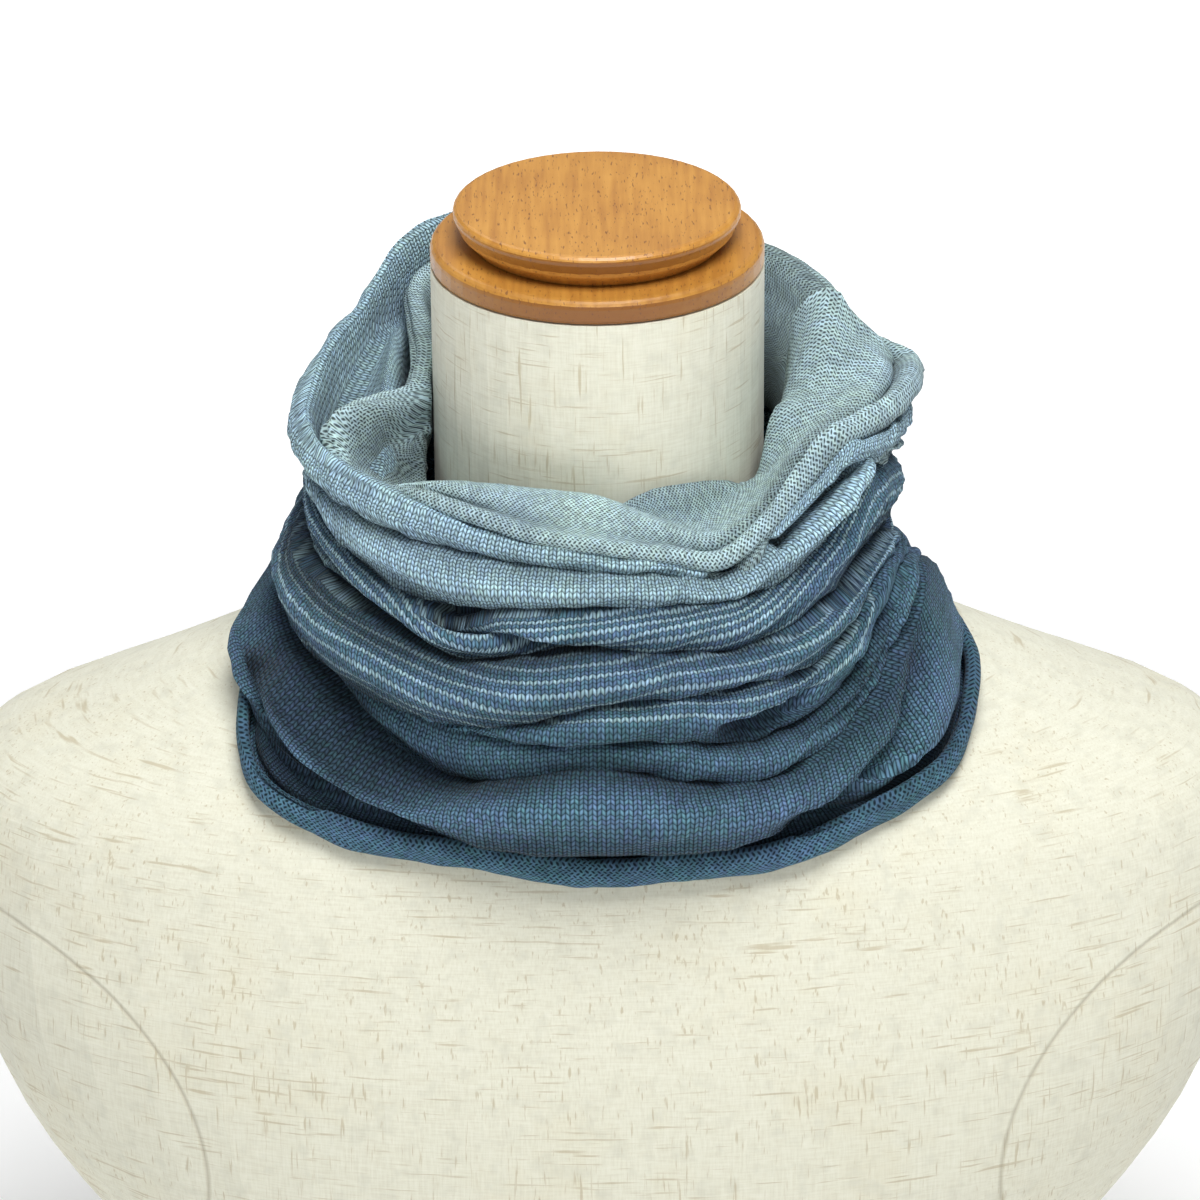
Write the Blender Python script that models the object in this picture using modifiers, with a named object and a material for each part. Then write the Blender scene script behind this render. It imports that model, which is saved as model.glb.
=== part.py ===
"""Knitted tube neck warmer, worn by a linen-covered tabletop dress form with a wooden neck cap.

+Z is up, the front faces -Y, and the origin is the middle of the form's flat underside.
Sizes are in millimetres, and MM turns them into Blender's metres.
Directions round the neck are clock hours seen from above: 6 is the front, 9 is -X, 3 is +X.
A "reach" is a distance from the neck's upright axis.
"""
import math
from collections import namedtuple

import bmesh
import bpy

MM = 0.001

# --- driving sizes ---------------------------------------------------------------------------
NECK_REACH = 54.0        # radius of the form's neck
NECK_TOP = 442.0         # height of the linen's upper end, under the wooden cap
SEAT_GAP = 0.3           # space left between two solids that touch
CAP_TOP_RADIUS = 46.5    # radius of the upper wooden disc
CAP_BASE_HEIGHT = 7.7    # thickness of the lower wooden disc
CAP_TOP_HEIGHT = 11.7    # thickness of the upper wooden disc

CLOTH = 1.5              # thickness of the jersey
FORM_CLEARANCE = 0.9     # from the cloth's inner side to the form's ideal surface
ROLL = 7.0               # depth of the curled hem, front to back
ROLL_RISE = 9.5          # from the middle of the roll's round bottom to the crease above it
CREASE_DROP = 1.0        # a crease runs this far below the lip that hides it
LIP_INSET = 2.0          # a fold's lip lies this far behind its crown
TOP_INSET = 2.2          # and its top this far
CROWN_LEVEL = 0.40       # the crown's and the top's places between one lip and the next
TOP_LEVEL = 0.80

FORM_COLUMNS = 44
FORM_RINGS_PER_SECTION = 2
CLOTH_COLUMNS = 48

# --- the dress form: level sections from the underside to the neck ---------------------------
# Each section is a superellipse: half width, depth to the front and to the back of the
# neck's axis, and fullness, its power (2 is an ellipse, more is squarer).
Section = namedtuple("Section", "height half_width front back fullness")
FORM_SECTIONS = (
    Section(0.0, 126.0, 96.0, 84.0, 2.3),       # waist, cut flat to stand on
    Section(40.0, 132.0, 102.0, 88.0, 2.3),
    Section(75.0, 149.0, 107.0, 91.0, 2.3),
    Section(105.0, 173.0, 110.0, 92.0, 2.3),
    Section(135.0, 194.0, 111.0, 93.0, 2.3),    # chest
    Section(165.0, 209.0, 110.0, 94.0, 2.3),
    Section(195.0, 217.0, 107.0, 94.0, 2.3),
    Section(225.0, 220.0, 101.0, 93.0, 2.25),   # shoulder ends
    Section(248.0, 219.5, 95.0, 90.0, 2.2),
    Section(262.0, 216.0, 90.0, 86.0, 2.2),
    Section(271.0, 209.0, 86.0, 84.0, 2.15),
    Section(278.0, 198.0, 83.0, 82.0, 2.1),
    Section(286.5, 175.0, 79.0, 79.0, 2.05),    # shoulder slopes
    Section(296.0, 150.0, 75.0, 76.0, 2.0),
    Section(305.5, 125.0, 71.0, 73.0, 2.0),
    Section(315.5, 100.0, 67.0, 69.0, 2.0),
    Section(324.0, 80.0, 63.0, 66.0, 2.0),
    Section(333.0, 66.0, 60.0, 62.0, 2.0),
    Section(342.0, 58.5, 57.0, 58.5, 2.0),
    Section(352.0, 55.0, 54.8, 55.2, 2.0),
    Section(364.0, NECK_REACH, NECK_REACH, NECK_REACH, 2.0),
    Section(NECK_TOP, NECK_REACH, NECK_REACH, NECK_REACH, 2.0),
)

# --- the cloth: one row for each fold, with a value for each clock hour ----------------------
# hours                                     6    7    8    9   10   11   12    1    2    3    4    5
HOURS = (6, 7, 8, 9, 10, 11, 12, 1, 2, 3, 4, 5)

HEM_REACH = (98, 107, 131, 114, 112, 96, 88, 96, 115, 122, 132, 110)

# top: height of the crease above the fold; reach: its crown; tuck: depth of the crease below it
Fold = namedtuple("Fold", "name top reach tuck")
FOLDS = (
    Fold("lowest, on the shoulders",
         (307, 304, 318, 334, 328, 320, 317, 320, 328, 336, 331, 303),
         (108, 113, 126, 113, 111, 102, 95, 102, 115, 121, 128, 114),
         (7, 7, 7, 6, 6, 6, 6, 6, 6, 6, 7, 7)),
    Fold("denim",
         (319, 320, 328, 342, 339, 336, 334, 336, 341, 349, 344, 316),
         (103, 106, 112, 108, 104, 98, 93, 98, 107, 112, 115, 108),
         (7, 7, 8, 6, 6, 6, 6, 6, 6, 6, 8, 7)),
    Fold("wide striped",
         (345, 342, 354, 358, 357, 355, 354, 356, 359, 362, 355, 344),
         (102, 105, 110, 106, 103, 96, 92, 96, 102, 104, 106, 105),
         (8, 8, 9, 6, 6, 6, 6, 6, 6, 7, 8, 8)),
    Fold("narrow striped",
         (361, 361, 368, 374, 376, 378, 379, 380, 380, 375, 367, 356),
         (93, 96, 100, 99, 97, 93, 89, 92, 97, 101, 100, 96),
         (10, 9, 8, 6, 6, 6, 6, 6, 6, 7, 8, 9)),
    Fold("light",
         (369, 373, 380, 384, 392, 402, 406, 404, 394, 389, 379, 363),
         (88, 91, 96, 98, 96, 91, 87, 89, 94, 99, 96, 90),
         (7, 7, 7, 6, 6, 6, 6, 6, 6, 7, 8, 7)),
    Fold("rim, turned over towards the neck",
         (375, 380, 388, 395, 408, 424, 432, 430, 408, 402, 389, 369),
         (82, 86, 96, 100, 95, 88, 84, 84, 88, 99, 93, 83),
         (7, 6, 4, 4, 5, 6, 6, 6, 6, 6, 7, 7)),
)

# Above the last fold the cloth turns over the rim, in towards the neck, up again and out over
# itself, where the free edge rolls open and, towards 3 and 4, spreads into a turned-out flap.
Ring = namedtuple("Ring", "name height reach")
RIM = (
    Ring("rim top",
         (375, 380, 388, 395, 408, 424, 432, 430, 408, 402, 389, 369),
         (75, 80, 90, 94, 90, 84, 80, 80, 84, 94, 88, 77)),
    Ring("valley",
         (372, 376, 379, 384, 395, 410, 418, 416, 398, 396, 384, 365),
         (70, 74, 79, 80, 79, 78, 76, 75, 77, 86, 81, 72)),
    Ring("inner side",
         (377, 381, 384, 389, 397, 406, 412, 410, 401, 402, 383, 367),
         (63, 65, 64, 62, 62, 62, 63, 63, 63, 62, 60, 66)),
    Ring("crest",
         (386, 389, 391, 399, 407, 416, 421, 422, 421, 421, 393, 374),
         (69, 71, 66, 64, 64, 64, 64, 64, 66, 70, 62, 73)),
    Ring("face",
         (383, 387, 390, 397, 406, 416, 421, 422, 423, 420, 401, 376),
         (76, 77, 71, 69, 69, 68, 68, 68, 76, 90, 80, 80)),
    Ring("free edge",
         (378, 384, 386, 392, 401, 411, 416, 418, 420, 409, 400, 373),
         (79, 80, 74, 72, 72, 71, 70, 70, 85, 102, 95, 84)),
)


def smooth(places, values, place):
    """Read a table between its places, on a curve that never swings past its values."""
    index = max(0, min(len(places) - 2, sum(p <= place for p in places) - 1))
    steps = [b - a for a, b in zip(places, places[1:])]
    slopes = [(b - a) / step for a, b, step in zip(values, values[1:], steps)]

    def tangent(i):
        if i == 0 or i == len(values) - 1:
            return slopes[min(i, len(slopes) - 1)]
        before, after = slopes[i - 1], slopes[i]
        if before * after <= 0:
            return 0.0
        return 2 * before * after / (before + after)

    step = steps[index]
    t = (place - places[index]) / step
    rise = values[index + 1] - values[index]
    bend = t * (1 - t) * step
    return (values[index] + rise * t * t * (3 - 2 * t)
            + bend * ((1 - t) * tangent(index) - t * tangent(index + 1)))


def by_hour(values, turn):
    """Read a row of clock-hour values at turn, 0 to 1 from the front by way of hour 9."""
    count = len(HOURS)
    wrapped = values[-2:] + values + values[:2]
    place = turn * count
    index = int(place)
    t = place - index
    a, b, c, d = wrapped[index + 1:index + 5]
    return b + 0.5 * t * (c - a + t * (2 * a - 5 * b + 4 * c - d + t * (3 * (b - c) + d - a)))


def form_section(height):
    heights = [section.height for section in FORM_SECTIONS]
    columns = zip(*(section[1:] for section in FORM_SECTIONS))
    return [smooth(heights, column, height) for column in columns]


def form_reach(direction_x, direction_y, height):
    """How far the form reaches from the neck's axis along a level unit direction."""
    half_width, front, back, fullness = form_section(height)
    depth = front if direction_y < 0 else back
    power = (abs(direction_x) / half_width) ** fullness + (abs(direction_y) / depth) ** fullness
    return power ** (-1 / fullness)


def form_height(direction_x, direction_y, reach):
    """The height, above the form's widest level, at which it reaches out just so far."""
    low, high = 225.0, 352.0
    while high - low > 0.01:
        middle = (low + high) / 2
        if form_reach(direction_x, direction_y, middle) > reach:
            low = middle
        else:
            high = middle
    return low


def direction_at(turn):
    angle = 2 * math.pi * turn
    return -math.sin(angle), -math.cos(angle)


def clear_of_form(turn, reach, height):
    """Push a point of the cloth out until its wall lies just clear of the form."""
    direction = direction_at(turn)
    here = form_reach(*direction, height)
    slope = here - form_reach(*direction, height + 1)
    level_gap = (CLOTH + FORM_CLEARANCE) * math.hypot(1, slope)
    return max(reach, here + level_gap)


def hem_profile(turn):
    """The curled hem: free edge, round bottom and inner side of a roll that rests on the form."""
    direction = direction_at(turn)
    reach = by_hour(HEM_REACH, turn) - ROLL / 2
    below = form_height(*direction, reach)
    fall = below - form_height(*direction, reach + 1)
    middle = below + (ROLL / 2 + FORM_CLEARANCE) * math.hypot(1, fall)
    bend = ROLL / 2 - CLOTH
    return middle + ROLL_RISE, [
        (reach + 0.4 * bend, middle + ROLL_RISE - 2.5),
        (reach + bend, middle + bend),
        (reach + 0.7 * bend, middle - 0.7 * bend),
        (reach - 0.7 * bend, middle - 0.7 * bend),
        (reach - bend, middle + bend),
    ]


def cloth_profile(turn):
    """The cloth's knit side at one place round the neck, from hem edge to top edge.

    Returns (reach, height) pairs. Each fold gives a crease, a lip, a crown and a top.
    """
    lip, points = hem_profile(turn)
    reach_below = by_hour(HEM_REACH, turn)
    for fold in FOLDS:
        reach = by_hour(fold.reach, turn)
        rise = by_hour(fold.top, turn) - lip
        points += [
            (min(reach, reach_below) - by_hour(fold.tuck, turn), lip - CREASE_DROP),
            (reach - LIP_INSET, lip),
            (reach, lip + CROWN_LEVEL * rise),
            (reach - TOP_INSET, lip + TOP_LEVEL * rise),
        ]
        reach_below = reach
        lip += rise
    points += [(by_hour(ring.reach, turn), by_hour(ring.height, turn)) for ring in RIM]
    return [(clear_of_form(turn, reach, height), height) for reach, height in points]


def material(name, color, roughness, metallic=0.0):
    made = bpy.data.materials.new(name)
    made.use_nodes = True
    shader = made.node_tree.nodes["Principled BSDF"]
    shader.inputs["Base Color"].default_value = (*color, 1.0)
    shader.inputs["Roughness"].default_value = roughness
    shader.inputs["Metallic"].default_value = metallic
    return made


def add_object(name, mesh, finish, collection):
    mesh.materials.append(finish)
    mesh.shade_smooth()
    made = bpy.data.objects.new(name, mesh)
    collection.objects.link(made)
    return made


def loft(name, rings, capped):
    """A skin through closed rings of points, each ring the same length."""
    shape = bmesh.new()
    rows = [[shape.verts.new((x * MM, y * MM, z * MM)) for x, y, z in ring] for ring in rings]
    for low, high in zip(rows, rows[1:]):
        for i in range(len(low)):
            j = (i + 1) % len(low)
            shape.faces.new((low[i], low[j], high[j], high[i]))
    if capped:
        shape.faces.new(rows[0][::-1])
        shape.faces.new(rows[-1])
    mesh = bpy.data.meshes.new(name)
    shape.to_mesh(mesh)
    shape.free()
    return mesh


def form_ring(height):
    half_width, front, back, fullness = form_section(height)
    ring = []
    for i in range(FORM_COLUMNS):
        angle = 2 * math.pi * i / FORM_COLUMNS
        sine, cosine = math.sin(angle), math.cos(angle)
        depth = front if cosine > 0 else back
        ring.append((math.copysign(half_width * abs(sine) ** (2 / fullness), sine),
                     math.copysign(depth * abs(cosine) ** (2 / fullness), -cosine),
                     height))
    return ring


def make_dress_form(collection):
    """The linen-covered body: a loft through level sections, closed flat below and above."""
    heights = []
    for low, high in zip(FORM_SECTIONS, FORM_SECTIONS[1:]):
        for step in range(FORM_RINGS_PER_SECTION):
            heights.append(low.height + (high.height - low.height) * step / FORM_RINGS_PER_SECTION)
    heights.append(NECK_TOP)
    mesh = loft("dress_form", [form_ring(height) for height in heights], capped=True)
    linen = material("linen", (0.85, 0.84, 0.68), 0.9)
    add_object("dress_form", mesh, linen, collection)


def make_neck_warmer(collection):
    """The knitted tube: its folded knit side, with the cloth's thickness added behind it."""
    profiles = [cloth_profile(i / CLOTH_COLUMNS) for i in range(CLOTH_COLUMNS)]
    rings = []
    for row in range(len(profiles[0])):
        ring = []
        for i, profile in enumerate(profiles):
            reach, height = profile[row]
            angle = 2 * math.pi * i / CLOTH_COLUMNS
            ring.append((-reach * math.sin(angle), -reach * math.cos(angle), height))
        rings.append(ring[::-1])
    mesh = loft("neck_warmer", rings, capped=False)
    jersey = material("jersey", (0.10, 0.18, 0.24), 0.85)
    tube = add_object("neck_warmer", mesh, jersey, collection)
    wall = tube.modifiers.new("wall", "SOLIDIFY")
    wall.thickness = CLOTH * MM
    wall.offset = -1
    wall.use_even_offset = False


def turned(name, profile, finish, collection):
    """A disc turned on the neck's axis: profile is (radius, height), outer side, top to bottom."""
    mesh = bpy.data.meshes.new(name)
    points = [(radius * MM, 0, height * MM) for radius, height in profile]
    mesh.from_pydata(points, [(i, i + 1) for i in range(len(points) - 1)], [])
    disc = add_object(name, mesh, finish, collection)
    turn = disc.modifiers.new("turn", "SCREW")
    turn.steps = turn.render_steps = 48
    turn.use_merge_vertices = True
    turn.merge_threshold = 0.00005


def rounded_edge(radius, height, bend, start, end, steps=4):
    """Points on a quarter bend, its angles in degrees from level."""
    points = []
    for step in range(steps + 1):
        angle = math.radians(start + (end - start) * step / steps)
        points.append((radius + bend * math.cos(angle), height + bend * math.sin(angle)))
    return points


def make_neck_cap(collection):
    """Two turned beech discs: a broad one on the linen, and a narrower one that tapers in below."""
    beech = material("beech", (0.62, 0.32, 0.11), 0.35)
    base_low = NECK_TOP + SEAT_GAP
    base_top = base_low + CAP_BASE_HEIGHT
    bend = 2.6
    base = [(0, base_top)]
    base += rounded_edge(NECK_REACH - bend, base_top - bend, bend, 90, 0)
    base += rounded_edge(NECK_REACH - 1.2, base_low + 1.2, 1.2, 0, -90, steps=2)
    base.append((0, base_low))
    turned("cap_base", base, beech, collection)

    low = base_top + SEAT_GAP
    top = low + CAP_TOP_HEIGHT
    bend = 2.2
    undercut = 6.0
    upper = [(0, top)]
    upper += rounded_edge(CAP_TOP_RADIUS - bend, top - bend, bend, 90, -20)
    upper += [(CAP_TOP_RADIUS - 0.35 * undercut, low + 4.2),
              (CAP_TOP_RADIUS - 0.8 * undercut, low + 1.6),
              (CAP_TOP_RADIUS - undercut, low), (0, low)]
    turned("cap_top", upper, beech, collection)


def main():
    for old in list(bpy.data.objects):
        bpy.data.objects.remove(old)
    collection = bpy.data.collections.new("neck_warmer_on_dress_form")
    bpy.context.scene.collection.children.link(collection)
    make_dress_form(collection)
    make_neck_cap(collection)
    make_neck_warmer(collection)


main()
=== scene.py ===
"""Knitted tube neck warmer on a linen dress form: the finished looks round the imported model."""
import math
from collections import namedtuple

import bpy
import numpy as np
from mathutils import Matrix, Vector
from mathutils.bvhtree import BVHTree


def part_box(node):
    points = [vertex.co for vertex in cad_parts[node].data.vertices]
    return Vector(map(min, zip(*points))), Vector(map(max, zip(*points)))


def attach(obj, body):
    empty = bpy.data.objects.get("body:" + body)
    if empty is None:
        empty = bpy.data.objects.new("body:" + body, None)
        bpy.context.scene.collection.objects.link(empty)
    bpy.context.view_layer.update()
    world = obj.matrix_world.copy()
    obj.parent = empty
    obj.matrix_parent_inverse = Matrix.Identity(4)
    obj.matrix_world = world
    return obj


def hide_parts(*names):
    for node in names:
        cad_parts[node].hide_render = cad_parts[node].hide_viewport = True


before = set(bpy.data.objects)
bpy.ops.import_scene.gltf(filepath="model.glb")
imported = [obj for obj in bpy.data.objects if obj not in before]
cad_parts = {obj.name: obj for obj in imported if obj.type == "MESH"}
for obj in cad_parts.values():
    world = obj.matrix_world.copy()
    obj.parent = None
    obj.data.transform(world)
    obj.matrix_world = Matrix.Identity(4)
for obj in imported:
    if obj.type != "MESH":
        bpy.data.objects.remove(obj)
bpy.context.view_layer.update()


# --- neck warmer: how the tube is folded ------------------------------------------------------
# One seamless tube of fine cotton jersey, knitted in the round and dyed light blue at the top
# and denim blue below, with stripes between. It is pushed down into soft folds that lie on each
# other; its raw edges curl by themselves. All of it is one skin, from the hem edge to the top.
# Its sizes are in millimetres, apart from CLOTH. A "reach" is a distance from the neck's axis.
MM = 0.001
CLOTH = 0.0013                      # the jersey's thickness, in metres
WALES = 252                         # columns of stitches round the tube
COURSE = 1.65                       # height of a row of stitches
COLUMNS = 256                       # columns of the mesh round the tube
STEPS = 3                           # rows of the mesh from one ring to the next

# Clock hours round the neck, from above: 6 is the front, 9 is -X, 3 is +X. The tables below that
# hold one value for each hour follow this row.
HOURS = (6, 6.5, 7, 7.5, 8, 8.5, 9, 9.5, 10, 10.5, 11, 12, 1, 2, 3, 3.5, 4, 4.25, 4.5, 5, 5.5)

# The hem curls up outwards into a roll that lies on the form: the reach of its outer side, its
# thickness, and the height from its middle to the crease above it.
HEM_REACH = (96.5, 98, 105, 118.5, 132, 119, 104, 105, 106, 102, 96, 88, 96, 108, 114, 128,
             131, 125, 117.5, 106.5, 98.5)
HEM_ROLL = 7.0
HEM_GAP = (9.5, 9.5, 9, 8, 6, 4, 5, 6, 6, 6, 6, 6, 6, 6, 5, 3.8, 3.8, 4, 5, 8.5, 9.5)
HEM_LIFT = 0.4                      # from the linen to the roll's underside
HEM_WALL = 0.6                      # from the roll's outer side to the middle of its wall
# The roll's rings, from the raw edge to the crease: places out and up from its middle, in its
# radius, the knitted row, and its painted shade: 1 is deep in a crease, where hardly any light
# gets in and the yarn is painted darker, and below 0 is a crest, painted paler as a highlight.
HemRing = namedtuple("HemRing", "out up course hollow")
HEM_RINGS = (
    HemRing(0.15, 1.1, 0, 0.9), HemRing(0.65, 1.9, 1.5, 0.5), HemRing(1.0, 1.0, 3, 0.1),
    HemRing(1.0, -0.1, 5, 0), HemRing(0.5, -0.85, 7, 0), HemRing(-0.4, -0.9, 9, 0.2),
    HemRing(-1.0, -0.2, 11, 0.6), HemRing(-1.0, 1.2, 13.5, 1.0),
)

# top: height of the crease above the fold; reach: that of its crown; tuck: depth of the crease
# under it; crown: the crown's place between lip and top; course: the knitted row at its lip.
Fold = namedtuple("Fold", "name crown top reach tuck course")
FOLDS = (
    Fold("lowest",
         (0.7, 0.7, 0.68, 0.64, 0.46, 0.32, 0.4, 0.5, 0.5, 0.5, 0.5, 0.5, 0.5, 0.5, 0.4, 0.22,
          0.2, 0.2, 0.26, 0.55, 0.68),
         (308, 303, 295, 298, 316, 327, 334, 332, 328, 324, 320, 317, 320, 328, 334, 348, 333,
          319, 309, 301, 302),
         (109, 110, 113, 119, 128, 126, 112, 107, 107, 103, 98, 93, 99, 109, 110, 121, 127, 124,
          119, 113, 110),
         (9, 9, 8, 5, 3, 2, 5, 8, 8, 8, 8, 8, 8, 8, 6, 2, 1, 1, 2, 7, 9),
         (15,) * 21),
    Fold("denim", (0.66,) * 21,
         (317, 316, 317.5, 318, 320, 330, 339, 338, 336, 333, 330, 327, 331, 337, 337.5, 351, 345,
          329, 321, 311, 316),
         (98, 99, 97, 96, 98, 104, 105, 103, 101, 99, 96, 92, 96, 102, 101, 108, 113, 113, 111,
          107, 101),
         (10, 10, 9, 7, 8, 9, 6, 6, 6, 6, 6, 6, 6, 6, 8, 12, 16, 15, 12, 11, 10),
         (42, 42, 42, 42, 46, 50, 50, 50, 48, 44, 42, 42, 42, 42, 46, 50, 50, 46, 42, 42, 42)),
    Fold("split striped", (0.66,) * 21,
         (330, 322, 319, 319.5, 321, 331.5, 342, 343, 344, 343, 342, 341, 344, 346, 341, 353, 351,
          342, 334, 333, 332),
         (101, 100, 97, 97, 99, 103, 103, 102, 101, 98, 95, 91, 95, 100, 99, 104, 107, 108, 107,
          104, 102),
         (10, 9, 7, 7, 7, 7, 6, 6, 6, 6, 6, 6, 6, 6, 7, 9, 10, 10, 10, 10, 10),
         (66, 64, 62, 62, 62, 62, 62, 62, 62, 62, 62, 62, 62, 62, 62, 62, 64, 66, 66, 66, 66)),
    Fold("wide striped", (0.66,) * 21,
         (346, 343, 339, 347, 352, 355, 358, 358, 357, 356, 355, 356, 358, 359, 345, 357, 356,
          351, 349, 342, 344),
         (101, 103, 105, 108, 110, 111, 102, 99, 99, 97, 94, 91, 94, 98, 98, 101, 103, 104, 104,
          102, 101),
         (11, 11, 12, 12, 12, 11, 8, 8, 8, 8, 8, 8, 8, 8, 9, 9, 10, 11, 11, 11, 11),
         (80, 78, 74, 72, 72, 72, 70, 68, 68, 70, 72, 74, 74, 76, 78, 80, 80, 78, 78, 78, 78)),
    Fold("narrow striped", (0.62,) * 21,
         (359, 358, 354, 355, 360, 368, 372, 374, 375, 375, 376, 379, 379, 374, 378, 386, 391,
          379, 364, 358, 359),
         (93, 94, 96, 99, 100, 100, 97, 96, 96, 95, 92, 89, 92, 96, 99, 101, 102, 101, 98, 96, 94),
         (13, 13, 12, 11, 10, 9, 8, 8, 8, 8, 8, 8, 8, 9, 9, 10, 10, 11, 12, 13, 13),
         (100, 101, 99, 94, 92, 92, 92, 92, 92, 92, 92, 92, 92, 90, 86, 84, 84, 87, 90, 94, 97)),
    Fold("light", (0.58,) * 21,
         (369, 370.5, 373, 375, 376, 376, 378, 382, 388, 394, 400, 406, 398, 388, 381, 389, 395,
          397, 385, 364, 367),
         (88, 89, 91, 94, 96, 97, 96, 95, 95, 94, 91, 87, 89, 94, 98, 100.5, 101.5, 103, 96, 90,
          88),
         (9, 9, 9, 8, 8, 7, 7, 8, 8, 8, 8, 8, 8, 8, 8, 9, 8, 10, 10, 9, 9),
         (114,) * 21),
    Fold("rim", (0.5,) * 21,
         (376, 377, 380, 384, 389, 393, 394, 401, 408, 424, 430, 430, 418, 402, 398, 402, 404,
          404, 390, 368, 372),
         (82, 83, 86, 91, 96, 100, 101, 98, 95.5, 95, 91, 88, 88, 94, 101.5, 103, 104, 102.5, 95,
          84, 82),
         (8, 8, 7, 6, 5, 5, 5, 6, 6, 6, 7, 7, 7, 7, 8, 8, 8, 8, 8, 8, 8),
         (132,) * 21),
)
SETTLE = 1.0                        # each crease but the rim's has sunk by this much
COURSE_STRETCH = 1.12               # the outer side of a fold is longer than it is high
FULL_RISE = 24                      # a fold this high has creases of the usual depth

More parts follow.
